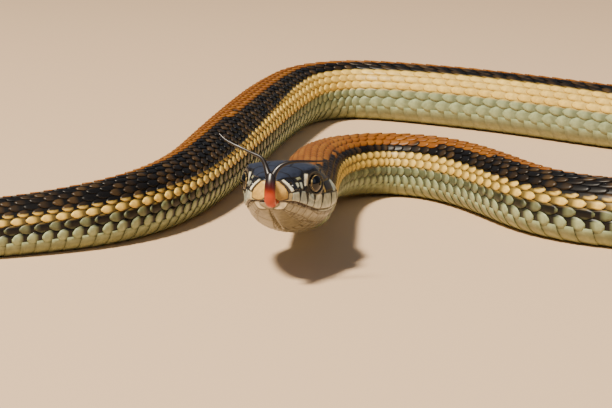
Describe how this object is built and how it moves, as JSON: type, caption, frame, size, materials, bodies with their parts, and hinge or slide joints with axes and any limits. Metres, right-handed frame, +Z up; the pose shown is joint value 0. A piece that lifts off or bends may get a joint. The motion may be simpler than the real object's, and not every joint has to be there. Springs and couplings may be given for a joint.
{
  "type": "garter snake",
  "caption": "Life-size still model of a striped garter snake lying in a loose S, head lifted towards the viewer with its mouth shut and its forked tongue curled up.",
  "frame": {"origin": "on the ground under the belly, in the middle of the outline seen from above", "axes": "+Z up from the ground; the head faces -Y, which is where the viewer of the picture stands, and +X is the viewer's right"},
  "size_m": [0.1938, 0.1553, 0.0209],
  "materials": {
    "skin": "dry scaled skin, satin, striped along the body",
    "eye": "wet gloss",
    "tongue": "moist gloss"
  },
  "bodies": {
    "root": {"head": "skin", "lower_jaw": "skin", "eye_left": "eye", "eye_right": "eye", "tongue": "tongue", "neck": "skin", "trunk_1": "skin", "trunk_2": "skin", "trunk_3": "skin", "trunk_4": "skin", "trunk_5": "skin", "trunk_6": "skin", "trunk_7": "skin", "trunk_8": "skin", "trunk_9": "skin", "trunk_10": "skin", "trunk_11": "skin", "tail_1": "skin", "tail_2": "skin", "tail_3": "skin"}
  },
  "joints": []
}
